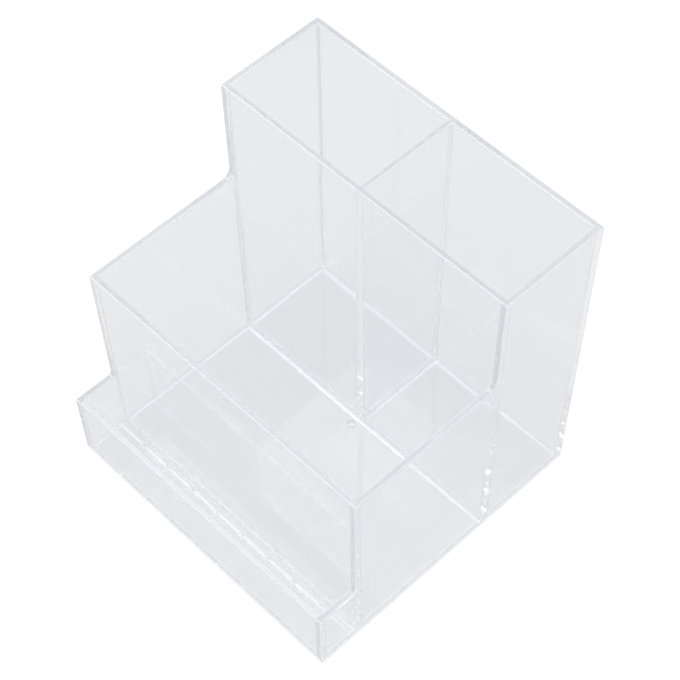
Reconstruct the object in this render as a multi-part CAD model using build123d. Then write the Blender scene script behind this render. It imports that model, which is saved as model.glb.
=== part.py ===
from build123d import *
from math import radians, tan
import os

os.makedirs("parts", exist_ok=True)

# A clear open-topped brush holder made of flat panels bonded edge to face.
# Two tall cells stand at the back, a wide lower bin in front of them, and a
# narrow tray for pencils runs along the foot of the bin. The outer walls lean
# out a little on all four sides, so the holder is widest at its rims.
# The origin is on the ground under the middle of the holder. X runs to the
# right across the front, Y runs from the front to the back and Z is up.

# Driving dimensions, in millimetres and degrees
width = 125.0             # over the outer faces of the side panels, at the ground
depth = 121.5             # from the front of the tray to the back, at the ground
lean_angle = 1.0          # how far the outer walls lean out from upright
floor_thickness = 2.4     # base panel
side_thickness = 2.5      # left and right side panels
back_thickness = 2.5      # panel behind the tall cells
bin_thickness = 2.5       # front panel of the bin
tray_thickness = 2.5      # front panel of the tray
tower_foot = 3.2          # panel between the bin and the tall cells, at its foot
tower_rim = 2.3           # the same panel at its rim
divider_foot = 3.2        # panel between the two tall cells, at its foot
divider_rim = 2.2         # the same panel at its rim

tower_height = 131.5      # rim of the tall cells above the ground
bin_height = 87.3         # rim of the bin above the ground
tray_height = 31.0        # rim of the tray above the ground
tray_step = 16.6          # from the front of the tray to the front of the bin
tower_step = 80.4         # from the front of the tray to the middle of the tower panel

step_radius = 4.0         # hollow corner in each side panel at the tower
tray_corner_radius = 1.5  # hollow corner in each side panel at the bin
edge_radius = 0.5         # softened edges of the rims and the outer corners

rest_height = 2.0         # scalloped strip in the tray, above the base panel
rest_depth = 2.4          # strip at the tips between two scallops
scallop_count = 9
scallop_depth = 1.0       # how far each scallop is hollowed out

gate_mark_radius = 1.5    # round moulding mark on the floor of the bin
gate_mark_height = 0.2
gate_mark_gap = 2.3       # from the tower panel to the near side of the mark

# Places worked out from the driving dimensions
lean = tan(radians(lean_angle))
front = -depth / 2
back = depth / 2
tray_back = front + tray_step
tower_middle = front + tower_step
inner_half = width / 2 - side_thickness
reach = width + depth     # long enough to cross the whole holder


def prism_along_x(corners):
    """A long bar across the holder whose outline in Y and Z has these corners."""
    face = make_face(Plane.YZ * Polyline(*corners, close=True))
    return extrude(face, reach, dir=(1, 0, 0), both=True)


def prism_along_y(corners):
    """A long bar from front to back whose outline in X and Z has these corners."""
    points = [(x, 0, z) for x, z in corners]
    return extrude(make_face(Polyline(*points, close=True)), reach, dir=(0, 1, 0), both=True)


def leaning_slab(near, thickness, low, high, slope):
    """Corners of a slab of even thickness whose upright sides lean by the slope."""
    return [
        (near + slope * low, low),
        (near + thickness + slope * low, low),
        (near + thickness + slope * high, high),
        (near + slope * high, high),
    ]


def tapered_slab(middle, foot, rim, low, high):
    """Corners of an upright slab that is thicker at its foot than at its rim."""
    return [
        (middle - foot / 2, low),
        (middle + foot / 2, low),
        (middle + rim / 2, high),
        (middle - rim / 2, high),
    ]


def flared_block(half_width, y_front, y_back, low, high):
    """A block whose four sides lean out, given by its sides at the ground."""
    across = [
        (-half_width - lean * low, low),
        (half_width + lean * low, low),
        (half_width + lean * high, high),
        (-half_width - lean * high, high),
    ]
    along = [
        (y_front - lean * low, low),
        (y_back + lean * low, low),
        (y_back + lean * high, high),
        (y_front - lean * high, high),
    ]
    return prism_along_y(across) & prism_along_x(along)


def soften_rim(panel, direction):
    """Rounds the long edges of a panel's top face."""
    top_edges = panel.faces().sort_by(Axis.Z)[-1].edges().filter_by(direction)
    return fillet(top_edges, edge_radius)


def cross_panel(corners):
    """A panel between the two side panels, with the given outline in Y and Z."""
    between_sides = flared_block(inner_half, front, back, floor_thickness, tower_height)
    return soften_rim(prism_along_x(corners) & between_sides, Axis.X)


def base_panel():
    """The floor of all the cells, with a round moulding mark near the tower."""
    plate = flared_block(width / 2, front, back, 0, floor_thickness)
    uprights = plate.edges().group_by(SortBy.LENGTH)[0]
    plate = fillet(uprights, edge_radius)
    mark_y = tower_middle - tower_foot / 2 - gate_mark_gap - gate_mark_radius
    mark = Cylinder(
        gate_mark_radius, gate_mark_height, align=(Align.CENTER, Align.CENTER, Align.MIN)
    )
    return plate + Pos(0, mark_y, floor_thickness) * mark


def side_panel(side):
    """A stepped side panel; side is -1 for the left one and 1 for the right one."""
    step_front = tower_middle - tower_rim / 2
    outline = [
        (front - lean * floor_thickness, floor_thickness),
        (back + lean * floor_thickness, floor_thickness),
        (back + lean * tower_height, tower_height),
        (step_front, tower_height),
        (step_front, bin_height),
        (tray_back - lean * bin_height, bin_height),
        (tray_back - lean * tray_height, tray_height),
        (front - lean * tray_height, tray_height),
    ]
    slab = leaning_slab(inner_half, side_thickness, floor_thickness, tower_height, lean)
    plate = prism_along_x(outline) & prism_along_y([(side * x, z) for x, z in slab])

    def hollow_corner(y, z):
        """The edge through the panel at one inward corner of its outline."""
        across = plate.edges().filter_by(lambda edge: abs(edge.tangent_at(0.5).X) > 0.9)
        return across.sort_by_distance((side * inner_half, y, z))[0]

    plate = fillet(hollow_corner(step_front, bin_height), step_radius)
    plate = fillet(hollow_corner(tray_back - lean * tray_height, tray_height), tray_corner_radius)

    broad_faces = plate.faces().sort_by(SortBy.AREA)[-2:]
    rims = broad_faces.edges().filter_by(lambda edge: edge.center().Z > floor_thickness + 0.01)
    return fillet(rims, edge_radius)


def tower_divider():
    """The panel between the two tall cells, from the tower panel to the back panel."""
    corners = tapered_slab(0, divider_foot, divider_rim, floor_thickness, tower_height)
    shrink = (tower_foot - tower_rim) / 2
    gap = [
        (tower_middle + tower_foot / 2, floor_thickness),
        (back - back_thickness + lean * floor_thickness, floor_thickness),
        (back - back_thickness + lean * tower_height, tower_height),
        (tower_middle + tower_foot / 2 - shrink, tower_height),
    ]
    return soften_rim(prism_along_y(corners) & prism_along_x(gap), Axis.Y)


def pencil_rest():
    """A low strip at the foot of the bin, scalloped so that pencils stay apart."""
    top = floor_thickness + rest_height
    strip_front = tray_back - rest_depth
    outline = [
        (strip_front, floor_thickness),
        (tray_back - lean * floor_thickness, floor_thickness),
        (tray_back - lean * top, top),
        (strip_front, top),
    ]
    strip = prism_along_x(outline) & flared_block(inner_half, front, back, floor_thickness, top)
    pitch = 2 * inner_half / scallop_count
    scallop_radius = (pitch**2 / 4 + scallop_depth**2) / (2 * scallop_depth)
    centre_y = strip_front + scallop_depth - scallop_radius
    for index in range(scallop_count):
        centre_x = (index + 0.5) * pitch - inner_half
        strip -= Pos(centre_x, centre_y, floor_thickness) * Cylinder(
            scallop_radius, rest_height, align=(Align.CENTER, Align.CENTER, Align.MIN)
        )
    return strip


parts = {
    "base_panel": base_panel(),
    "left_side_panel": side_panel(-1),
    "right_side_panel": side_panel(1),
    "back_panel": cross_panel(
        leaning_slab(back - back_thickness, back_thickness, floor_thickness, tower_height, lean)
    ),
    "tower_front_panel": cross_panel(
        tapered_slab(tower_middle, tower_foot, tower_rim, floor_thickness, tower_height)
    ),
    "tower_divider": tower_divider(),
    "bin_front_panel": cross_panel(
        leaning_slab(tray_back, bin_thickness, floor_thickness, bin_height, -lean)
    ),
    "tray_front_panel": cross_panel(
        leaning_slab(front, tray_thickness, floor_thickness, tray_height, -lean)
    ),
    "pencil_rest": pencil_rest(),
}

for name, shape in parts.items():
    shape.label = name
    export_step(shape, f"parts/{name}.step")
    print(f"{name:20s} {shape.volume / 1000:8.2f} cm3")
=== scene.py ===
from math import cos, radians, sin, tan

import bmesh
import bpy
import numpy as np
from mathutils import Matrix, Vector


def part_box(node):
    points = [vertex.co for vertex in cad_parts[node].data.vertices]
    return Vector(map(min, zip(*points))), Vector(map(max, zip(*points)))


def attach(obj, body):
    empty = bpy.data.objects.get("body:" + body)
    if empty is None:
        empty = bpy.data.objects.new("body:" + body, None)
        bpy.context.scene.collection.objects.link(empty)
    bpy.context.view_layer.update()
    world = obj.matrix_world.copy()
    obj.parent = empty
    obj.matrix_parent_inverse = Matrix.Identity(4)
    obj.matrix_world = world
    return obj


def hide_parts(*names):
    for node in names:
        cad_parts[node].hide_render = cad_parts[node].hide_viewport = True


bl_info = {
    "name": "Clear Brush Holder",
    "version": (1, 0, 0),
    "blender": (4, 5, 0),
    "location": "3D View > Sidebar > Brush Holder",
    "description": "Clear panels of a stepped brush holder, on a pale stage",
    "category": "Add Mesh",
}

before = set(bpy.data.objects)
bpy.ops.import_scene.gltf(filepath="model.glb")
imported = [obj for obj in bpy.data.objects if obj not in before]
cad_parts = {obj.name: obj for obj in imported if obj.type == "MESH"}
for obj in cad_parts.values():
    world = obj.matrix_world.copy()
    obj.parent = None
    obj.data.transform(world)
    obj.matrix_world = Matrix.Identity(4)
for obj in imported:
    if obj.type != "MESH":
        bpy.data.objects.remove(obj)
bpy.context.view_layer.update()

MM = 0.001
# Material slots of every panel, in the order in which finish_piece fills them. The rim slot paints
# shade, and the soft and cement slots paint highlights.
SKIN, RIM, SOFT, BOND, CEMENT_HIGHLIGHT, FOOT = range(6)
SAME_PLACE = 1e-6          # metres; points nearer than this are one point
SHARP_CORNER = radians(50)
RIM_SEGMENTS = 3           # flat parts of a softened rim
MARK_STEPS = 24            # straight parts of the round moulding mark
BEAD_STEPS = 5             # straight parts of a bead's hollow round
MOST_TURNS = 10            # bounces after which light counts as led far along a wall
MOST_BOUNCES = MOST_TURNS + 2
MOST_CLEAR_FACES = 64      # faces that one ray may pass straight through

# The pencil rest's relief, in metres
REST_STEPS, REST_ROWS = 36, 26
REST_APRON = 0.9 * MM      # from the tips to the strip's front edge
PLINTH = 0.04 * MM
CREST_HEIGHT, CREST_WIDTH = 0.06 * MM, 0.3 * MM
SWELL_HEIGHT, SWELL_WIDTH = 0.6 * MM, 0.38 * MM
SWELL_SHIFT = 0.3 * MM     # how far the swelling stands behind the tips, half way between them
KNOB_HEIGHT, KNOB_WIDTH = 0.9 * MM, 0.5 * MM
# The crests and knobs above this height take the bloomed cement, a painted highlight.
HIGHLIGHT_HEIGHT = 0.11 * MM   # where the relief is higher than this it is no longer clear


def length(name, description, default):
    """A size in metres that the sidebar shows as a length."""
    return bpy.props.FloatProperty(
        name=name, description=description, default=default, min=0.0,
        precision=4, subtype="DISTANCE", unit="LENGTH",
    )


def colour(name, description, default):
    """A colour that the sidebar shows as a swatch."""
    return bpy.props.FloatVectorProperty(
        name=name, description=description, default=default, size=3,
        min=0.0, max=1.0, subtype="COLOR",
    )


def factor(name, description, default, high=1.0):
    """A plain number that the sidebar shows as a slider."""
    return bpy.props.FloatProperty(
        name=name, description=description, default=default, min=0.0, max=high,
        subtype="FACTOR",
    )


class HolderSizes(bpy.types.PropertyGroup):
    """Sizes of the holder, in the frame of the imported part."""

    width: length("Width", "Over the side panels, at the ground", 125.0 * MM)
    depth: length("Depth", "From the front of the tray to the back, at the ground", 121.5 * MM)
    lean: bpy.props.FloatProperty(
        name="Lean", description="How far the outer walls lean out from upright",
        default=radians(1.0), subtype="ANGLE", unit="ROTATION",
    )
    floor: length("Floor", "Thickness of the base panel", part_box("tower_divider")[0].z)
    wall: length("Wall", "Thickness of the side, back, bin and tray panels", 2.5 * MM)
    tower_foot: length("Tower Foot", "Thickness of the tower panel at its foot", 3.2 * MM)
    tower_rim: length("Tower Rim", "Thickness of the tower panel at its rim", 2.3 * MM)
    divider_foot: length("Divider Foot", "Thickness of the divider at its foot", 3.2 * MM)
    divider_rim: length("Divider Rim", "Thickness of the divider at its rim", 2.2 * MM)
    tower_height: length("Tower Height", "Rim of the tall cells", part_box("back_panel")[1].z)
    bin_height: length("Bin Height", "Rim of the bin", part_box("bin_front_panel")[1].z)
    tray_height: length("Tray Height", "Rim of the tray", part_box("tray_front_panel")[1].z)
    tray_step: length("Tray Step", "From the front of the tray to the bin", 16.6 * MM)
    tower_step: length("Tower Step", "From the front of the tray to the tower panel", 80.4 * MM)
    step_radius: length("Step Radius", "Hollow corner in a side panel at the tower", 4.0 * MM)
    tray_radius: length("Tray Radius", "Hollow corner in a side panel at the bin", 1.5 * MM)
    edge_radius: length("Edge Radius", "Softened edges of the rims", 0.5 * MM)
    bead_radius: length("Bead Radius", "Hollow round of the cement up the corners", 0.7 * MM)
    floor_bead: length("Floor Bead Radius", "The same along the floor", 0.95 * MM)
    rest_depth: length("Rest Depth", "Scalloped strip at its tips", 2.4 * MM)
    scallop_depth: length("Scallop Depth", "How far each scallop is hollowed out", 1.0 * MM)
    scallop_count: bpy.props.IntProperty(
        name="Scallops", description="Number of scallops in the strip", default=9, min=1
    )
    gate_radius: length("Gate Mark Radius", "Round moulding mark on the floor", 1.5 * MM)
    gate_height: length("Gate Mark Height", "Moulding mark above the floor", 0.2 * MM)
    gate_gap: length("Gate Mark Gap", "From the tower panel to the mark", 2.3 * MM)


class HolderFinish(bpy.types.PropertyGroup):
    """Colours and finish of the clear plastic and of the stage."""

    tint: colour("Tint", "Colour of light that has passed through", (0.985, 0.987, 0.995))
    haze: colour("Haze", "Colour of the small bubbles in a bonded seam", (0.9, 0.91, 0.95))
    shade: colour("Shade", "Light that one face lets through to the floor", (0.955, 0.957, 0.965))
    deep: colour("Deep", "Tint of each face for light led far along a wall", (0.988, 0.988, 0.994))
    # Edge: painted shade, the rims' grey given to them as a colour
    edge: colour("Edge", "Colour of the rims", (0.72, 0.723, 0.765))
    # Corner: colour of the painted highlight on the rounded edges
    corner: colour("Corner", "Colour of the rounded edges", (0.88, 0.882, 0.91))
    foot: colour("Foot", "Colour of the outer walls of the base", (0.97, 0.97, 0.98))
    # Cement: colour of the painted highlight on the beads and the pencil rest's raised parts
    cement: colour("Cement", "Colour of the beads and of the pencil rest", (0.95, 0.95, 0.96))
    bend: factor("Bend", "Refractive index of the plastic", 1.49, 3.0)
    backdrop: colour("Backdrop", "Colour of the floor and of what lies behind", (1.0, 1.0, 1.0))
    # Seen Through and Mirrored: painted shade, the floor made dimmer through the plastic and in
    # its reflections, which greys the plastic
    through: colour("Seen Through", "The floor as the plastic shows it", (0.655, 0.657, 0.657))
    mirrored: colour("Mirrored", "The floor as the plastic reflects it", (0.61, 0.613, 0.62))
    shadow: factor("Shadow", "How strongly the floor shows the shadow", 0.4)


# ---- outlines and plates


def line_at(place, slope=0.0, level=0.0):
    """The line s = place + slope * (t - level), as a, b and c of a*s + b*t = c."""
    return 1.0, -slope, place - slope * level


def keep_side(loop, line, sign):
    """The part of a closed loop of (s, t) points that lies on one side of a line.

    The signed distance of a point is sign * (a*s + b*t - c). A point stays where that isn't
    negative, and where it changes sign between two neighbours, the point at which the straight
    edge between them meets the line is added there. A point between two others on the line
    goes, because a run along the line and back holds no face.
    """
    a, b, c = line
    gap = sign * (loop @ (a, b) - c)
    gap[np.abs(gap) < SAME_PLACE] = 0.0
    gap_after = np.roll(gap, -1)
    passes = gap * gap_after < 0
    share = np.divide(gap, gap - gap_after, out=np.zeros_like(gap), where=passes)
    met = loop + share[:, None] * (np.roll(loop, -1, axis=0) - loop)
    order = np.argsort(np.concatenate([np.flatnonzero(gap >= 0), np.flatnonzero(passes) + 0.5]))
    kept = np.concatenate([loop[gap >= 0], met[passes]])[order]
    on_line = np.concatenate([gap[gap >= 0] == 0, np.full(passes.sum(), True)])[order]
    return kept[~(on_line & np.roll(on_line, 1) & np.roll(on_line, -1))]


def strips(loop, lines):
    """Cuts a loop along lines given from low to high s, and returns the strips in order."""
    parts = []
    for line in lines:
        parts.append(keep_side(loop, line, -1))
        loop = keep_side(loop, line, 1)
    return parts + [loop]


def with_points(loop, points):
    """A closed loop with every given point that lies on one of its edges put into it.

    A point's share along the edge from P to Q is (point - P).(Q - P) / |Q - P|^2, and its gap is
    the cross product of the same two vectors over |Q - P|. It lies on the edge if the gap is
    nothing and the share is between 0 and 1, and the points are sorted by edge number plus share.
    """
    edge = np.roll(loop, -1, axis=0) - loop
    size = np.linalg.norm(edge, axis=1)[:, None]
    offset = points[None] - loop[:, None]
    share = (offset * edge[:, None]).sum(2) / size**2
    gap = edge[:, :1] * offset[:, :, 1] - edge[:, 1:] * offset[:, :, 0]
    margin = SAME_PLACE / size
    on = (np.abs(gap) / size < SAME_PLACE) & (share > margin) & (share < 1 - margin)
    edge_number, point_number = np.nonzero(on)
    order = np.concatenate([np.arange(len(loop)), edge_number + share[on]])
    return np.concatenate([loop, points[point_number]])[np.argsort(order)]


def one_of_each(points):
    """The given points without those that stand on another one."""
    keys = np.round(points / SAME_PLACE).astype(np.int64)
    return points[np.unique(keys, axis=0, return_index=True)[1]]


def arc(centre, radius, start, end, count=9):
    """Points on a circle: centre + radius * (cos, sin) of evenly spaced angles in degrees."""
    angle = np.radians(np.linspace(start, end, count))
    return np.array(centre) + radius * np.stack([np.cos(angle), np.sin(angle)], axis=1)


def plate(name, outline, place, near, far, wall_slot, extra=()):
    """A closed plate: a flat outline carried straight through from a near to a far face.

    A point (s, t) of the outline goes to place(points, 0) on the near face and place(points, 1)
    on the far face. near and far list the zones of the two faces as (loop, material slot).
    Every edge of the outline becomes one four-sided wall between the faces, and wall_slot
    gives its slot from the middle of that edge. extra lists more faces as (corners, slot).
    """
    marks = one_of_each(np.concatenate([outline] + [zone for zone, _ in [*near, *far]]))
    outline = with_points(outline, marks)
    here, there = place(outline, 0), place(outline, 1)
    walls = np.stack(
        [here, np.roll(here, -1, axis=0), np.roll(there, -1, axis=0), there], axis=1
    )
    middles = (outline + np.roll(outline, -1, axis=0)) / 2
    faces = list(zip(walls, np.broadcast_to(wall_slot(middles), len(walls)), strict=True))
    for side, zones in enumerate((near, far)):
        faces += [(place(with_points(zone, marks), side), slot) for zone, slot in zones]
    faces += list(extra)

    sizes = np.array([len(corners) for corners, _ in faces])
    starts = np.cumsum(sizes) - sizes
    mesh = bpy.data.meshes.new(name)
    mesh.from_pydata(
        np.concatenate([corners for corners, _ in faces]).tolist(),
        [],
        [list(range(start, start + size)) for start, size in zip(starts, sizes, strict=True)],
    )
    mesh.polygons.foreach_set("material_index", np.array([slot for _, slot in faces], np.int32))
    close_up(mesh)
    finish_piece(name, mesh)


def close_up(mesh):
    """Merges the corners that meet, turns every face outwards and marks the edges to soften.

    An edge is softened where its two faces turn by more than the sharp corner angle and neither
    is bonded to a neighbour.
    """
    shell = bmesh.new()
    shell.from_mesh(mesh)
    bmesh.ops.remove_doubles(shell, verts=shell.verts, dist=2 * SAME_PLACE)
    bmesh.ops.recalc_face_normals(shell, faces=shell.faces)
    if any(not edge.is_manifold for edge in shell.edges):
        raise RuntimeError(f"{mesh.name} isn't closed")
    soft = shell.edges.layers.float.new("bevel_weight_edge")
    for face in shell.faces:
        face.smooth = True
    for edge in shell.edges:
        sharp = edge.calc_face_angle() > SHARP_CORNER
        bonded = any(face.material_index == BOND for face in edge.link_faces)
        edge.smooth = not sharp
        edge[soft] = float(sharp and not bonded)
    shell.to_mesh(mesh)
    shell.free()


def finish_piece(name, mesh):
    """Softens a piece's rims, gives it the clear plastic and stands it in for its CAD node."""
    piece = bpy.data.objects.new("clear_" + name, mesh)
    bpy.context.scene.collection.objects.link(piece)
    for make in (skin_plastic, rim_plastic, soft_plastic, bonded_seam, floor_cement, foot_plastic):
        mesh.materials.append(make())
    rims = piece.modifiers.new("softened rims", "BEVEL")
    rims.limit_method = "WEIGHT"
    rims.width = bpy.context.scene.holder_sizes.edge_radius
    rims.segments = RIM_SEGMENTS
    rims.use_clamp_overlap = False
    rims.harden_normals = True
    # The softened rims take the rounded edge plastic, a painted highlight.
    rims.material = SOFT
    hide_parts(name)
    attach(piece, "root")


class Lines:
    """The planes of the panels, worked out once from the sizes.

    Each attribute that ends in _line is a line in the (y, z) plane, where a panel's face
    crosses it. half_inside(z) and half_outside(z) are the side panels' faces.
    """

    def __init__(self):
        size = bpy.context.scene.holder_sizes
        self.size = size
        self.slope = tan(size.lean)
        self.front, self.back = -size.depth / 2, size.depth / 2
        self.bin = self.front + size.tray_step
        self.tower = self.front + size.tower_step
        rise = size.tower_height - size.floor
        self.tower_taper = (size.tower_foot - size.tower_rim) / 2 / rise
        self.divider_taper = (size.divider_foot - size.divider_rim) / 2 / rise
        self.rest_front = self.bin - size.rest_depth
        near_tower, far_tower = self.tower - size.tower_foot / 2, self.tower + size.tower_foot / 2
        self.tray_line = line_at(self.front + size.wall, -self.slope)
        self.bin_line = line_at(self.bin, -self.slope)
        self.bin_back_line = line_at(self.bin + size.wall, -self.slope)
        self.tower_line = line_at(near_tower, self.tower_taper, size.floor)
        self.tower_back_line = line_at(far_tower, -self.tower_taper, size.floor)
        self.back_line = line_at(self.back - size.wall, self.slope)

    def half_outside(self, z):
        return self.size.width / 2 + self.slope * z

    def half_inside(self, z):
        return self.half_outside(z) - self.size.wall

    def half_divider(self, z):
        return self.size.divider_foot / 2 - self.divider_taper * (z - self.size.floor)

    @staticmethod
    def y_on(line, z):
        """Where a line in the (y, z) plane stands at height z."""
        a, b, c = line
        return (c - b * z) / a


def stack(x, y, z):
    """Three coordinates as rows of points."""
    return np.stack(np.broadcast_arrays(x, y, z), axis=1)


# ---- materials


def node(tree, kind, sockets=(), **settings):
    """Adds a shader node; sockets maps its inputs to values or to other nodes' outputs."""
    made = tree.nodes.new(kind)
    for setting, value in settings.items():
        setattr(made, setting, value)
    for socket, value in dict(sockets).items():
        if isinstance(value, bpy.types.NodeSocket):
            tree.links.new(value, made.inputs[socket])
        else:
            made.inputs[socket].default_value = value
    return made


def maths(tree, operation, *values):
    """A Math node's output for the given values or sockets."""
    return node(tree, "ShaderNodeMath", dict(enumerate(values)), operation=operation).outputs[0]


def colour_mix(tree, share, first, second):
    """The colour that lies between two RGBA colours or sockets by the given share.

    A Mix node has sockets of the same names for other kinds of value, so they are counted.
    """
    first_colour, second_colour, result = 6, 7, 2
    return node(
        tree, "ShaderNodeMix", {0: share, first_colour: first, second_colour: second},
        data_type="RGBA",
    ).outputs[result]


def is_led_far(tree, path):
    """1 for a ray that has turned more often than MOST_TURNS, else 0."""
    return maths(tree, "GREATER_THAN", path["Ray Depth"], MOST_TURNS + 0.5)


def spread(tree, value, low, high, to_low, to_high):
    """Carries value from the range low to high over to another range, and holds it there."""
    return node(
        tree, "ShaderNodeMapRange",
        {"Value": value, "From Min": low, "From Max": high, "To Min": to_low, "To Max": to_high},
    ).outputs["Result"]


def group(name, takes, gives):
    """An empty shader group with the given float inputs, a Vector input and the outputs."""
    tree = bpy.data.node_groups.new(name, "ShaderNodeTree")
    tree.interface.new_socket("Vector", in_out="INPUT", socket_type="NodeSocketVector")
    for title, value in takes.items():
        socket = tree.interface.new_socket(title, in_out="INPUT", socket_type="NodeSocketFloat")
        socket.default_value = value
    for title, kind in gives.items():
        tree.interface.new_socket(title, in_out="OUTPUT", socket_type="NodeSocket" + kind)
    return tree, tree.nodes.new("NodeGroupInput").outputs, tree.nodes.new("NodeGroupOutput")


def handled_plastic():
    """The shader group for a moulded face that hands have touched.

    Slow waves from the mould and fine grain make the height. Smudges, where two noises are both
    high, and hairline scratches, where a noise drawn out long crosses its middle, add
    roughness. Tint Share says how much of the second colour a smudge shows.
    """
    if "handled plastic" in bpy.data.node_groups:
        return bpy.data.node_groups["handled plastic"]
    tree, given, out = group(
        "handled plastic",
        {"Wave": 1.0, "Wave Scale": 26.0, "Grain": 0.02, "Grain Scale": 700.0,
         "Smudge": 0.05, "Scratch": 0.05, "Deepen": 0.03},
        {"Tint Share": "Float", "Roughness": "Float", "Height": "Float"},
    )
    spot = given["Vector"]
    wave = node(tree, "ShaderNodeTexNoise",
                {"Vector": spot, "Scale": given["Wave Scale"], "Detail": 1.0})
    grain = node(tree, "ShaderNodeTexNoise",
                 {"Vector": spot, "Scale": given["Grain Scale"], "Detail": 2.0})
    broad = node(tree, "ShaderNodeTexNoise", {"Vector": spot, "Scale": 34.0, "Detail": 3.0})
    ridged = node(tree, "ShaderNodeTexNoise",
                  {"Vector": spot, "Scale": 160.0, "Detail": 4.0, "Distortion": 0.6})
    long_way = node(tree, "ShaderNodeMapping",
                    {"Vector": spot, "Rotation": (0.5, 0.7, 0.4), "Scale": (900.0, 30.0, 25.0)})
    hair = node(tree, "ShaderNodeTexNoise",
                {"Vector": long_way.outputs[0], "Scale": 1.0, "Detail": 0.0})
    smudge = maths(tree, "MULTIPLY", spread(tree, broad.outputs[0], 0.5, 0.68, 0.0, 1.0),
                   spread(tree, ridged.outputs[0], 0.4, 0.62, 0.25, 1.0))
    off_middle = maths(tree, "ABSOLUTE", maths(tree, "SUBTRACT", hair.outputs[0], 0.5))
    scratch = maths(tree, "MULTIPLY", spread(tree, off_middle, 0.0, 0.004, 1.0, 0.0),
                    spread(tree, broad.outputs[0], 0.45, 0.6, 0.0, 1.0))
    worn = maths(tree, "ADD", maths(tree, "MULTIPLY", smudge, given["Smudge"]),
                 maths(tree, "MULTIPLY", scratch, given["Scratch"]))
    height = maths(tree, "ADD", maths(tree, "MULTIPLY", wave.outputs[0], given["Wave"]),
                   maths(tree, "MULTIPLY", grain.outputs[0], given["Grain"]))
    share = maths(tree, "MULTIPLY", smudge, given["Deepen"])
    for title, source in (("Tint Share", share), ("Roughness", worn), ("Height", height)):
        tree.links.new(source, out.inputs[title])
    return tree


def new_material(name):
    """An empty material and its node tree, or None for the tree if it is there already."""
    if name in bpy.data.materials:
        return bpy.data.materials[name], None
    material = bpy.data.materials.new(name)
    material.use_nodes = True
    material.node_tree.nodes.clear()
    return material, material.node_tree


def clear_plastic(name, roughness, bump, milky=0.0, colour_name="tint", **wear):
    """Clear plastic that lamps and the floor's own light reach through, with a tint.

    milky is the share of a bloom on the outside, which scatters the light. On the rims the bloom
    and the colour are painted shade, and on the rounded edges, beads and pencil rest painted
    highlights. Shadow rays and rays from the floor pass straight on, a little dimmer at each face,
    so that the shadow stays pale. So does light that has been led far along a wall, which would
    otherwise be lost.
    wear gives the values of the handled plastic's inputs by their names.
    """
    material, tree = new_material(name)
    if tree is None:
        return material
    finish = bpy.context.scene.holder_finish
    spot = node(tree, "ShaderNodeTexCoord").outputs["Object"]
    worn = node(tree, "ShaderNodeGroup", node_tree=handled_plastic())
    tree.links.new(spot, worn.inputs["Vector"])
    for title, value in wear.items():
        worn.inputs[title.replace("_", " ").title()].default_value = value
    colour_here = colour_mix(
        tree, worn.outputs["Tint Share"],
        (*getattr(finish, colour_name), 1.0), (*finish.haze, 1.0),
    )
    relief = node(tree, "ShaderNodeBump",
                  {"Height": worn.outputs["Height"], "Distance": bump, "Strength": 1.0})
    surface = {
        "Base Color": colour_here,
        "Roughness": maths(tree, "ADD", worn.outputs["Roughness"], roughness),
        "IOR": finish.bend, "Normal": relief.outputs[0],
    }
    seen = node(tree, "ShaderNodeBsdfPrincipled", {**surface, "Transmission Weight": 1.0})
    if milky:
        bloom = node(tree, "ShaderNodeBsdfPrincipled", surface)
        inside = node(tree, "ShaderNodeNewGeometry").outputs["Backfacing"]
        share = maths(tree, "MULTIPLY", maths(tree, "SUBTRACT", 1.0, inside), milky)
        seen = node(tree, "ShaderNodeMixShader",
                    {0: share, 1: seen.outputs[0], 2: bloom.outputs[0]})
    let_by = node(tree, "ShaderNodeBsdfTransparent", {"Color": (*finish.shade, 1.0)})
    led_far = node(tree, "ShaderNodeBsdfTransparent", {"Color": (*finish.deep, 1.0)})
    path = node(tree, "ShaderNodeLightPath").outputs
    unseen = maths(tree, "MAXIMUM", path["Is Shadow Ray"], path["Is Diffuse Ray"])
    near_and_far = node(tree, "ShaderNodeMixShader", {
        0: is_led_far(tree, path), 1: seen.outputs[0], 2: led_far.outputs[0],
    })
    mixed = node(tree, "ShaderNodeMixShader",
                 {0: unseen, 1: near_and_far.outputs[0], 2: let_by.outputs[0]})
    node(tree, "ShaderNodeOutputMaterial", {"Surface": mixed.outputs[0]})
    return material


def skin_plastic():
    """The broad moulded faces: glassy, slowly waved, with faint smudges."""
    return clear_plastic("clear plastic", roughness=0.0, bump=0.0003,
                         wave=1.0, smudge=0.04, scratch=0.04, grain=0.0)


def rim_plastic():
    """The narrow rims: the same plastic, paler and a little rougher, with painted shade in their
    edge colour.
    """
    return clear_plastic("clear plastic rim", roughness=0.12, bump=0.00004,
                         milky=0.3, colour_name="edge",
                         wave=0.8, wave_scale=55.0, grain=0.02, grain_scale=900.0,
                         smudge=0.1, deepen=0.2)


def soft_plastic():
    """The rounded edges: a little rough, with a milky bloom that paints a highlight along them."""
    return clear_plastic("clear plastic rounded edge", roughness=0.1, bump=0.00005,
                         milky=0.4, colour_name="corner",
                         wave=0.6, wave_scale=90.0, grain=0.05, grain_scale=1200.0,
                         smudge=0.1, deepen=0.2)


def foot_plastic():
    """The outer walls of the base: rougher, with a strong pale bloom of the foot colour."""
    return clear_plastic("clear plastic foot", roughness=0.2, bump=0.00004,
                         milky=0.65, colour_name="foot",
                         wave=0.5, wave_scale=90.0, grain=0.05, grain_scale=1200.0,
                         smudge=0.1, scratch=0.1, deepen=0.2)


def floor_cement():
    """The thick beads along the floor and the raised parts of the pencil rest: cement with a
    strong milky bloom, a painted highlight.
    """
    return clear_plastic("cement painted highlight", roughness=0.2, bump=0.00003,
                         milky=0.8, colour_name="cement",
                         wave=0.8, wave_scale=120.0, grain=0.1, grain_scale=900.0,
                         smudge=0.2, deepen=0.1)


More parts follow.
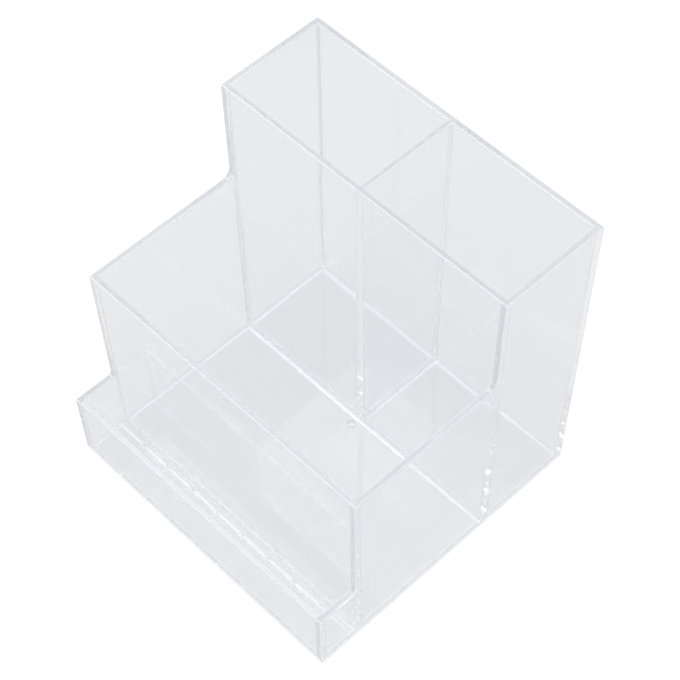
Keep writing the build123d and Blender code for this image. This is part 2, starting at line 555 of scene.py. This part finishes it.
def upright_cement():
    """The thin beads up the corners: the same cement, nearly clear and evener, its faint bloom a
    painted highlight.
    """
    return clear_plastic("clear cement", roughness=0.1, bump=0.00003,
                         milky=0.2, colour_name="cement",
                         wave=0.6, wave_scale=60.0, grain=0.02, grain_scale=900.0,
                         smudge=0.1, deepen=0.1)


def bonded_seam():
    """Where two panels are bonded: plastic all through, so nothing shows but small bubbles."""
    material, tree = new_material("bonded seam")
    if tree is None:
        return material
    finish = bpy.context.scene.holder_finish
    spot = node(tree, "ShaderNodeTexCoord").outputs["Object"]
    patch = node(tree, "ShaderNodeTexNoise", {"Vector": spot, "Scale": 90.0, "Detail": 2.0})
    bubble = node(tree, "ShaderNodeTexVoronoi", {"Vector": spot, "Scale": 1100.0})
    small = spread(tree, bubble.outputs["Distance"], 0.25, 0.38, 1.0, 0.0)
    crowded = spread(tree, patch.outputs[0], 0.58, 0.7, 0.0, 1.0)
    cover = maths(tree, "MULTIPLY", maths(tree, "MULTIPLY", small, crowded), 0.4)
    seen = node(tree, "ShaderNodeBsdfPrincipled", {
        "Base Color": (*finish.haze, 1.0), "Roughness": 0.3, "Alpha": cover,
    })
    node(tree, "ShaderNodeOutputMaterial", {"Surface": seen.outputs[0]})
    return material


# ---- the pieces


def foot_or_end(lines, inner, rim_slot):
    """Slots for the walls of a panel that stands on the base between two others.

    inner(z) is half the way between the others. The foot and the ends are bonded, and
    what is left is the rim.
    """
    def slot(middle):
        at_foot = middle[:, 1] < lines.size.floor + SAME_PLACE
        at_end = np.abs(np.abs(middle[:, 0]) - inner(middle[:, 1])) < 2 * SAME_PLACE
        return np.where(at_foot | at_end, BOND, rim_slot)
    return slot


def cross_panel(name, near_line, far_line, top, near_zones=None, far_zones=None, rim_slot=RIM):
    """A panel from one side panel to the other, between two lines in the (y, z) plane.

    A point (x, z) stands at x and z and at the line's y for that z, so the face leans as
    its line does. The ends follow the side panels' inner faces.
    """
    lines = Lines()
    floor = lines.size.floor
    low, high = lines.half_inside(floor), lines.half_inside(top)
    outline = np.array([(-low, floor), (low, floor), (high, top), (-high, top)])

    def place(points, far):
        x, z = points.T
        return stack(x, lines.y_on(far_line if far else near_line, z), z)

    whole = [(outline, SKIN)]
    plate(
        name, outline, place,
        near_zones(lines, outline) if near_zones else whole,
        far_zones(lines, outline) if far_zones else whole,
        foot_or_end(lines, lines.half_inside, rim_slot),
    )


def beside_divider(lines, outline):
    """A face in three zones: left cell, the strip that the divider is bonded to, right cell."""
    half, taper = lines.size.divider_foot / 2, lines.divider_taper
    left, middle, right = strips(outline, [
        line_at(-half, taper, lines.size.floor), line_at(half, -taper, lines.size.floor),
    ])
    return [(left, SKIN), (middle, BOND), (right, SKIN)]


def side_outline(lines):
    """The stepped outline of a side panel in the (y, z) plane, with its two hollow corners.

    A hollow corner is the arc of a circle that touches both of its edges. Its centre is one
    radius above the lower edge, and one radius from the upright one along the ground.
    """
    size, slope = lines.size, lines.slope
    tower_y = lines.y_on(lines.tower_line, size.bin_height)
    bin_y = lines.bin - slope * size.tray_height
    steps = np.array([
        (lines.front - slope * size.floor, size.floor),
        (lines.back + slope * size.floor, size.floor),
        (lines.back + slope * size.tower_height, size.tower_height),
        (lines.y_on(lines.tower_line, size.tower_height), size.tower_height),
    ])
    big, small = size.step_radius, size.tray_radius
    at_tower = arc((tower_y - big, size.bin_height + big), big, 0, -90)
    at_bin = arc((bin_y - small, size.tray_height + small), small, 0, -90, count=5)
    at_tower[0, 0] = lines.y_on(lines.tower_line, at_tower[0, 1])
    at_bin[0, 0] = lines.y_on(lines.bin_line, at_bin[0, 1])
    return np.concatenate([
        steps, at_tower, [(lines.bin - slope * size.bin_height, size.bin_height)],
        at_bin, [(lines.front - slope * size.tray_height, size.tray_height)],
    ])


def side_zones(lines, outline):
    """The inner face of a side panel, cut where the other panels are bonded to it."""
    tray_foot, tray, bin_foot, bin_side, tower_foot, tall_cell, back_foot = strips(outline, [
        lines.tray_line, lines.bin_line, lines.bin_back_line,
        lines.tower_line, lines.tower_back_line, lines.back_line,
    ])
    bonded = (tray_foot, bin_foot, tower_foot, back_foot)
    shown = (tray, bin_side, tall_cell)
    return [(zone, BOND) for zone in bonded] + [(zone, SKIN) for zone in shown]


def side_panel(name, side):
    """A side panel: a point (y, z) of the stepped outline stands at x = side * half_inside(z)
    on the near face and side * half_outside(z) on the far one; side is -1 or 1."""
    lines = Lines()
    outline = side_outline(lines)

    def place(points, far):
        y, z = points.T
        return stack(side * (lines.half_outside(z) if far else lines.half_inside(z)), y, z)

    def wall_slot(middle):
        return np.where(middle[:, 1] < lines.size.floor + SAME_PLACE, BOND, RIM)

    zones = side_zones(lines, outline)
    plate(name, outline, place, zones, [(outline, SKIN)], wall_slot)


def divider():
    """The panel between the tall cells: a point (y, z) stands at x = -half_divider(z) on the
    near face and half_divider(z) on the far one, so the panel thins towards its rim."""
    lines = Lines()
    floor, top = lines.size.floor, lines.size.tower_height
    y_on = lines.y_on
    outline = np.array([
        (y_on(lines.tower_back_line, floor), floor), (y_on(lines.back_line, floor), floor),
        (y_on(lines.back_line, top), top), (y_on(lines.tower_back_line, top), top),
    ])

    def place(points, far):
        y, z = points.T
        return stack((1 if far else -1) * lines.half_divider(z), y, z)

    def wall_slot(middle):
        return np.where(middle[:, 1] < top - SAME_PLACE, BOND, RIM)

    whole = [(outline, SKIN)]
    plate("tower_divider", outline, place, whole, whole, wall_slot)


def rest_crest(lines, x):
    """The y of the pencil rest's crest over x: arcs of circles between tips one pitch apart.

    With the scallop's depth d, the arc's radius is (pitch^2 / 4 + d^2) / (2 * d), and the
    crest is root(radius^2 - u^2) - (radius - d) behind the tips, u being x less the
    middle of its scallop.
    """
    size = lines.size
    pitch = 2 * lines.half_inside(size.floor) / size.scallop_count
    radius = (pitch**2 / 4 + size.scallop_depth**2) / (2 * size.scallop_depth)
    from_middle = (x / pitch + size.scallop_count / 2) % 1 * pitch - pitch / 2
    hollow = np.sqrt(radius**2 - from_middle**2) - (radius - size.scallop_depth)
    return lines.rest_front + hollow


def pencil_rest():
    """The scalloped strip, as a relief on the base over a grid in x and y.

    The height of a point is a low plinth plus the highest of three bells, each of the form
    exp(-(distance / width)^2): a low one along the crest, a swelling near the line of the tips
    that grows with the square of the scallop's hollow, and a round knob on each tip. They
    grow from nothing over the apron. The grid stands on a flat copy of itself.
    """
    lines = Lines()
    size = lines.size
    half, y_back = lines.half_inside(size.floor), lines.y_on(lines.bin_line, size.floor)
    columns, rows = size.scallop_count * REST_STEPS + 1, REST_ROWS + 1
    x = np.linspace(-half, half, columns)[:, None]
    y = np.linspace(lines.rest_front - REST_APRON, y_back, rows)[None]
    tips = np.linspace(-half, half, size.scallop_count + 1)
    crest = rest_crest(lines, x)
    hollow = (crest - lines.rest_front) / size.scallop_depth
    low_bell = np.exp(-(((y - crest) / CREST_WIDTH) ** 2))
    behind_tips = y - lines.rest_front
    swell = hollow**2 * np.exp(-(((behind_tips - SWELL_SHIFT * hollow) / SWELL_WIDTH) ** 2))
    apart = (x[..., None] - tips) ** 2 + (y[..., None] - lines.rest_front) ** 2
    knob = np.exp(-apart / KNOB_WIDTH**2).sum(-1)
    edge = np.clip((y - y[0, 0]) / REST_APRON, 0, 1)
    height = PLINTH + edge * np.max(np.broadcast_arrays(
        CREST_HEIGHT * low_bell, SWELL_HEIGHT * swell, KNOB_HEIGHT * knob
    ), axis=0)
    x, y, height = np.broadcast_arrays(x, y, height)
    top = np.stack([x, y, size.floor + height], axis=-1).reshape(-1, 3)
    foot = np.stack([x, y, np.full(x.shape, size.floor)], axis=-1).reshape(-1, 3)

    number = np.arange(columns * rows).reshape(columns, rows)
    patch = np.stack(
        [number[:-1, :-1], number[1:, :-1], number[1:, 1:], number[:-1, 1:]], axis=-1
    ).reshape(-1, 4)
    rim = np.concatenate([number[:, 0], number[-1, 1:], number[-2::-1, -1], number[0, -2:0:-1]])
    after = np.roll(rim, -1)
    fence = np.stack([rim, after, after + len(top), rim + len(top)], axis=1)
    mesh = bpy.data.meshes.new("pencil_rest")
    mesh.from_pydata(
        np.concatenate([top, foot]).tolist(), [],
        np.concatenate([patch, patch[:, ::-1] + len(top), fence]).tolist(),
    )
    # Faces of the crests and knobs that stand high take the bloomed cement, a painted highlight.
    milky = height.reshape(-1)[patch].mean(1) > HIGHLIGHT_HEIGHT
    slots = np.concatenate([
        np.where(milky, CEMENT_HIGHLIGHT, SKIN), np.full(len(patch) + len(fence), BOND)
    ])
    mesh.polygons.foreach_set("material_index", slots.astype(np.int32))
    close_up(mesh)
    finish_piece("pencil_rest", mesh)


def base_zones(lines):
    """The top of the base: a zone for the foot of each panel and one for the floor of each
    cell, with the round moulding mark left out of the bin's floor."""
    size = lines.size
    floor = size.floor
    half, edge = lines.half_inside(floor), lines.half_outside(floor)
    front, back = lines.front - lines.slope * floor, lines.back + lines.slope * floor
    y_tray, y_bin, y_bin_back, y_tower, y_tower_back, y_back = (
        lines.y_on(line, floor) for line in (
            lines.tray_line, lines.bin_line, lines.bin_back_line,
            lines.tower_line, lines.tower_back_line, lines.back_line,
        )
    )

    def block(x_low, x_high, y_low, y_high):
        return np.array([(x_low, y_low), (x_high, y_low), (x_high, y_high), (x_low, y_high)])

    y_rest = lines.rest_front - REST_APRON
    divider_half = size.divider_foot / 2
    mark_y = y_tower - size.gate_gap - size.gate_radius
    left_of_mark = np.concatenate([
        [(-half, y_bin_back), (0, y_bin_back)],
        arc((0, mark_y), size.gate_radius, 270, 90, count=MARK_STEPS // 2 + 1),
        [(0, y_tower), (-half, y_tower)],
    ])
    bonded = [
        block(-edge, -half, front, back), block(half, edge, front, back),
        block(-half, half, front, y_tray),
        block(-half, half, y_rest, y_bin), block(-half, half, y_bin, y_bin_back),
        block(-half, half, y_tower, y_tower_back),
        block(-divider_half, divider_half, y_tower_back, y_back),
        block(-half, half, y_back, back),
    ]
    shown = [
        block(-half, half, y_tray, y_rest),
        left_of_mark, left_of_mark[::-1] * (-1, 1),
        block(-half, -divider_half, y_tower_back, y_back),
        block(divider_half, half, y_tower_back, y_back),
    ]
    return [(zone, BOND) for zone in bonded] + [(zone, SKIN) for zone in shown]


def base():
    """The base panel: a point (x, y) stands on the ground on the near face and at the
    floor's height on the far one. Only points on the outline move out with the lean."""
    lines = Lines()
    size = lines.size
    floor = size.floor
    edge = lines.half_outside(floor)
    front, back = lines.front - lines.slope * floor, lines.back + lines.slope * floor
    outline = np.array([(-edge, front), (edge, front), (edge, back), (-edge, back)])

    def place(points, far):
        x, y = points.T
        inset = 0.0 if far else lines.slope * floor
        at_side = np.abs(x) > edge - SAME_PLACE
        x = np.where(at_side, x - np.sign(x) * inset, x)
        y = np.where(y < front + SAME_PLACE, y + inset, y)
        y = np.where(y > back - SAME_PLACE, y - inset, y)
        return stack(x, y, floor if far else 0.0)

    mark_y = lines.y_on(lines.tower_line, floor) - size.gate_gap - size.gate_radius
    ring = arc((0, mark_y), size.gate_radius, 90, 450, count=MARK_STEPS + 1)[:-1]
    low = stack(ring[:, 0], ring[:, 1], floor)
    high = low + (0, 0, size.gate_height)
    around = np.stack(
        [low, np.roll(low, -1, axis=0), np.roll(high, -1, axis=0), high], axis=1
    )
    extra = [(corners, SKIN) for corners in [*around, high]]
    plate("base_panel", outline, place, [(outline, SKIN)], base_zones(lines),
          lambda middle: np.full(len(middle), FOOT), extra)


def beads():
    """The cement beads in the inner corners of the cells, as one piece, with a painted highlight.

    A bead runs from one point to another along a corner. Across it, a and b point away from the
    corner along its two walls, and its hollow face is the circle's arc
    corner + r * ((1 - cos t) * a + (1 - sin t) * b) for t from 0 to 90 degrees. A bead along the
    floor stops one radius short of the corner at each end.
    """
    lines = Lines()
    size, y = lines.size, lines.y_on
    short, floor = size.floor_bead, size.floor
    rest_line = line_at(lines.rest_front)
    # Each cell's near and far line, its left and right side (-1, 1, or 0 for the divider), its top
    cells = (
        (lines.tray_line, rest_line, -1, 1, size.tray_height),
        (lines.bin_back_line, lines.tower_line, -1, 1, size.bin_height),
        (lines.tower_back_line, lines.back_line, -1, 0, size.tower_height),
        (lines.tower_back_line, lines.back_line, 0, 1, size.tower_height),
    )
    starts, ends, along_a, along_b, uprights = [], [], [], [], []

    def x(side, other, z):
        return side * lines.half_inside(z) if side else other * lines.half_divider(z)

    for near, far, left, right, top in cells:
        low, high = floor + short, top - size.edge_radius
        for line, inward in ((near, 1), (far, -1)):
            if line is rest_line:
                continue
            starts.append((x(left, right, floor) + short, y(line, floor), floor))
            ends.append((x(right, left, floor) - short, y(line, floor), floor))
            along_a.append((0, inward, 0))
            along_b.append((0, 0, 1))
            uprights.append(0)
            for side, other, turn in ((left, right, 1), (right, left, -1)):
                starts.append((x(side, other, low), y(line, low), low))
                ends.append((x(side, other, high), y(line, high), high))
                along_a.append((turn, 0, 0))
                along_b.append((0, inward, 0))
                uprights.append(1)
        for side, other, turn in ((left, right, 1), (right, left, -1)):
            starts.append((x(side, other, floor), y(near, floor) + short, floor))
            ends.append((x(side, other, floor), y(far, floor) - short, floor))
            along_a.append((turn, 0, 0))
            along_b.append((0, 0, 1))
            uprights.append(0)

    starts, ends, along_a, along_b = map(np.array, (starts, ends, along_a, along_b))
    turn = np.radians(np.linspace(0, 90, BEAD_STEPS + 1))
    share = np.stack([1 - np.cos(turn), 1 - np.sin(turn)], axis=1)
    share = np.concatenate([[(0, 0)], share])
    radius = np.where(uprights, size.bead_radius, size.floor_bead)[:, None, None]
    across = radius * np.einsum("kc,cij->ikj", share, np.stack([along_a, along_b]))
    rows = len(share)
    points = np.stack([starts[:, None] + across, ends[:, None] + across], axis=1).reshape(-1, 3)
    here = np.arange(rows)
    around = np.stack([here, (here + 1) % rows, (here + 1) % rows + rows, here + rows], axis=1)
    offsets = np.arange(len(starts)) * 2 * rows
    quads = (offsets[:, None, None] + around).reshape(-1, 4).tolist()
    caps = np.concatenate([offsets[:, None] + here, offsets[:, None] + here[::-1] + rows]).tolist()
    mesh = bpy.data.meshes.new("bonding_beads")
    mesh.from_pydata(points.tolist(), [], quads + caps)
    # The beads' bloomed cement is a painted highlight along the corners.
    for make in (floor_cement, upright_cement):
        mesh.materials.append(make())
    slots = np.concatenate([np.repeat(uprights, rows), np.tile(uprights, 2)])
    mesh.polygons.foreach_set("material_index", slots.astype(np.int32))
    close_up(mesh)
    piece = bpy.data.objects.new("bonding_beads", mesh)
    bpy.context.scene.collection.objects.link(piece)
    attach(piece, "root")


# ---- operators


class HOLDER_OT_base(bpy.types.Operator):
    """Add the base panel with its moulding mark."""

    bl_idname = "holder.add_base"
    bl_label = "Base Panel"

    def execute(self, context):
        base()
        return {"FINISHED"}


class HOLDER_OT_side_panels(bpy.types.Operator):
    """Add the two stepped side panels."""

    bl_idname = "holder.add_side_panels"
    bl_label = "Side Panels"

    def execute(self, context):
        side_panel("left_side_panel", -1)
        side_panel("right_side_panel", 1)
        return {"FINISHED"}


class HOLDER_OT_cross_panels(bpy.types.Operator):
    """Add the back, tower, bin and tray panels."""

    bl_idname = "holder.add_cross_panels"
    bl_label = "Cross Panels"

    def execute(self, context):
        lines = Lines()
        size = lines.size
        back_face = line_at(lines.back, lines.slope)
        front_face = line_at(lines.front, -lines.slope)
        cross_panel("back_panel", lines.back_line, back_face, size.tower_height,
                    near_zones=beside_divider)
        cross_panel("tower_front_panel", lines.tower_line, lines.tower_back_line,
                    size.tower_height, far_zones=beside_divider)
        cross_panel("bin_front_panel", lines.bin_line, lines.bin_back_line, size.bin_height)
        # The tray's rim takes the rounded edge plastic, a painted highlight.
        cross_panel("tray_front_panel", front_face, lines.tray_line, size.tray_height,
                    rim_slot=SOFT)
        return {"FINISHED"}


class HOLDER_OT_divider(bpy.types.Operator):
    """Add the divider between the two tall cells."""

    bl_idname = "holder.add_divider"
    bl_label = "Tower Divider"

    def execute(self, context):
        divider()
        return {"FINISHED"}


class HOLDER_OT_pencil_rest(bpy.types.Operator):
    """Add the scalloped strip at the foot of the bin."""

    bl_idname = "holder.add_pencil_rest"
    bl_label = "Pencil Rest"

    def execute(self, context):
        pencil_rest()
        return {"FINISHED"}


class HOLDER_OT_beads(bpy.types.Operator):
    """Add the cement beads in the inner corners of the cells."""

    bl_idname = "holder.add_beads"
    bl_label = "Bonding Beads"

    def execute(self, context):
        beads()
        return {"FINISHED"}


class HOLDER_OT_stage(bpy.types.Operator):
    """Add the pale floor, the lamps, the surroundings and the camera."""

    bl_idname = "holder.add_stage"
    bl_label = "Stage"

    def execute(self, context):
        stage_floor()
        surroundings()
        lamps()
        camera()
        return {"FINISHED"}


class VIEW3D_PT_holder(bpy.types.Panel):
    """The holder's pieces, sizes and finish in the sidebar."""

    bl_label = "Brush Holder"
    bl_space_type = "VIEW_3D"
    bl_region_type = "UI"
    bl_category = "Brush Holder"

    def draw(self, context):
        for operator in OPERATORS:
            self.layout.operator(operator.bl_idname)
        for settings in (context.scene.holder_sizes, context.scene.holder_finish):
            column = self.layout.column()
            for title in type(settings).__annotations__:
                column.prop(settings, title)


# ---- the stage

FLOOR_HALF = 4.0
FLOOR_DROP = 0.0002        # metres; keeps the floor from touching the base's underside
SHADOW_FADES, SHADOW_ENDS = 0.2, 0.45  # metres from the middle of the floor
ROOM_COLOUR = (0.97, 0.98, 1.0, 1.0)
ROOM_LOW, ROOM_HIGH = 0.35, 0.85  # strength at the horizon and nearly overhead

CAMERA_PLACE = (0.29170, -0.26445, 0.61066)
CAMERA_AZIMUTH = radians(46.864)
CAMERA_ELEVATION = radians(55.726)
CAMERA_ROLL = radians(-1.2515)
CAMERA_LENS = 104.488      # millimetres, as is the frame's width
CAMERA_FRAME = 36.0
CAMERA_SHIFT = 60 / 680    # share of the frame by which the view is moved up


def seen_colour(tree, path, plain=0.0):
    """The backdrop's colour by the kind of ray: plain to the camera, dimmer in a reflection,
    and dimmer too through the plastic or led far along one of its walls. That dimming is painted
    shade, which greys the plastic. plain is the share of the plain colour in the dimmer ones."""
    finish = bpy.context.scene.holder_finish
    inside = maths(tree, "MAXIMUM", path["Is Transmission Ray"], is_led_far(tree, path))
    shown = (*finish.backdrop, 1.0)
    for share, other in ((path["Is Glossy Ray"], finish.mirrored), (inside, finish.through)):
        dimmer = plain * np.array(finish.backdrop) + (1 - plain) * np.array(other)
        shown = colour_mix(tree, share, shown, (*dimmer, 1.0))
    return shown


def stage_floor():
    """A flat floor that keeps the shadow, white to the camera and dimmer through the plastic as
    painted shade.
    """
    corners = FLOOR_HALF * np.array([(-1, -1, 0), (1, -1, 0), (1, 1, 0), (-1, 1, 0)], float)
    mesh = bpy.data.meshes.new("floor")
    mesh.from_pydata((corners - (0, 0, FLOOR_DROP)).tolist(), [], [[0, 1, 2, 3]])
    piece = bpy.data.objects.new("floor", mesh)
    bpy.context.scene.collection.objects.link(piece)
    material, tree = new_material("pale floor")
    finish = bpy.context.scene.holder_finish
    path = node(tree, "ShaderNodeLightPath").outputs
    straight = maths(tree, "MAXIMUM", path["Is Camera Ray"], path["Is Glossy Ray"])
    looked_at = maths(tree, "MAXIMUM", straight, path["Is Transmission Ray"])
    spot = node(tree, "ShaderNodeTexCoord").outputs["Object"]
    away = node(tree, "ShaderNodeVectorMath", {0: spot}, operation="LENGTH").outputs["Value"]
    shadow = spread(tree, away, SHADOW_FADES, SHADOW_ENDS, finish.shadow, 0.0)
    plain = maths(tree, "MULTIPLY", looked_at, maths(tree, "SUBTRACT", 1.0, shadow))
    lit = node(tree, "ShaderNodeBsdfDiffuse", {"Color": (*finish.backdrop, 1.0)})
    bright = node(tree, "ShaderNodeEmission", {"Color": seen_colour(tree, path)})
    mixed = node(tree, "ShaderNodeMixShader", {0: plain, 1: lit.outputs[0], 2: bright.outputs[0]})
    node(tree, "ShaderNodeOutputMaterial", {"Surface": mixed.outputs[0]})
    mesh.materials.append(material)


def surroundings():
    """White to the camera, and dimmer through the plastic as painted shade. Elsewhere a soft room,
    pale overhead and greyer towards the horizon, so that the plastic's edges have something to
    show."""
    world = bpy.data.worlds.new("soft room")
    bpy.context.scene.world = world
    world.use_nodes = True
    tree = world.node_tree
    tree.nodes.clear()
    direction = node(tree, "ShaderNodeTexCoord").outputs["Generated"]
    upward = node(tree, "ShaderNodeSeparateXYZ", {0: direction}).outputs["Z"]
    level = spread(tree, upward, 0.0, 0.9, ROOM_LOW, ROOM_HIGH)
    path = node(tree, "ShaderNodeLightPath").outputs
    straight = maths(tree, "MAXIMUM", path["Is Camera Ray"], path["Is Transmission Ray"])
    room = node(tree, "ShaderNodeBackground", {"Color": ROOM_COLOUR, "Strength": level})
    seen = seen_colour(tree, path, plain=bpy.context.scene.holder_finish.shadow)
    white = node(tree, "ShaderNodeBackground", {"Color": seen, "Strength": 1.0})
    mixed = node(tree, "ShaderNodeMixShader", {
        0: maths(tree, "MAXIMUM", straight, is_led_far(tree, path)),
        1: room.outputs[0], 2: white.outputs[0],
    })
    node(tree, "ShaderNodeOutputWorld", {"Surface": mixed.outputs[0]})


def lamps():
    """Three large soft lamps: over the left shoulder, behind, and low to the right. All of them
    light the surfaces. The one behind isn't mirrored in them, and only the low one is seen
    through the plastic."""
    for name, place, across, watts in (
        ("main lamp", (-0.7, -0.5, 1.3), 0.9, 8.0),
        ("back lamp", (0.5, 0.9, 1.1), 0.6, 4.0),
        ("fill lamp", (1.0, -0.8, 0.9), 0.8, 3.5),
    ):
        lamp = bpy.data.lights.new(name, "AREA")
        lamp.shape, lamp.size, lamp.energy = "SQUARE", across, watts
        holder = bpy.data.objects.new(name, lamp)
        holder.location = place
        holder.rotation_euler = (-Vector(place)).to_track_quat("-Z", "Y").to_euler()
        holder.visible_transmission = name == "fill lamp"
        holder.visible_glossy = name != "back lamp"
        bpy.context.scene.collection.objects.link(holder)


def camera():
    """A camera at the photograph's viewing angle, for a square frame.

    Its back vector points from the object to the camera, by azimuth and elevation. Right and
    up are the level pair at a right angle to it, turned together by the roll.
    """
    around, above = CAMERA_AZIMUTH, CAMERA_ELEVATION
    back = Vector((sin(around) * cos(above), -cos(around) * cos(above), sin(above)))
    level = Vector((0, 0, 1)).cross(back).normalized()
    upright = back.cross(level)
    right = cos(CAMERA_ROLL) * level + sin(CAMERA_ROLL) * upright
    upward = back.cross(right)
    data = bpy.data.cameras.new("camera")
    data.sensor_width, data.lens, data.shift_y = CAMERA_FRAME, CAMERA_LENS, CAMERA_SHIFT
    data.clip_start, data.clip_end = 0.01, 20.0
    holder = bpy.data.objects.new("camera", data)
    turned = Matrix((right, upward, back)).transposed()
    holder.matrix_world = Matrix.Translation(CAMERA_PLACE) @ turned.to_4x4()
    bpy.context.scene.collection.objects.link(holder)
    bpy.context.scene.camera = holder


OPERATORS = (
    HOLDER_OT_base, HOLDER_OT_side_panels, HOLDER_OT_cross_panels, HOLDER_OT_divider,
    HOLDER_OT_pencil_rest, HOLDER_OT_beads, HOLDER_OT_stage,
)
CLASSES = (HolderSizes, HolderFinish, *OPERATORS, VIEW3D_PT_holder)


def register():
    for one in CLASSES:
        bpy.utils.register_class(one)
    bpy.types.Scene.holder_sizes = bpy.props.PointerProperty(type=HolderSizes)
    bpy.types.Scene.holder_finish = bpy.props.PointerProperty(type=HolderFinish)


def unregister():
    del bpy.types.Scene.holder_finish
    del bpy.types.Scene.holder_sizes
    for one in reversed(CLASSES):
        bpy.utils.unregister_class(one)


def main():
    """Builds the pieces and the stage."""
    register()
    scene = bpy.context.scene
    scene.view_settings.view_transform = "Standard"
    scene.cycles.max_bounces = MOST_BOUNCES
    scene.cycles.transmission_bounces = MOST_BOUNCES
    scene.cycles.glossy_bounces = MOST_BOUNCES
    scene.cycles.transparent_max_bounces = MOST_CLEAR_FACES
    bpy.ops.holder.add_base()
    bpy.ops.holder.add_side_panels()
    bpy.ops.holder.add_cross_panels()
    bpy.ops.holder.add_divider()
    bpy.ops.holder.add_pencil_rest()
    bpy.ops.holder.add_beads()
    bpy.ops.holder.add_stage()


if __name__ == "__main__":
    main()
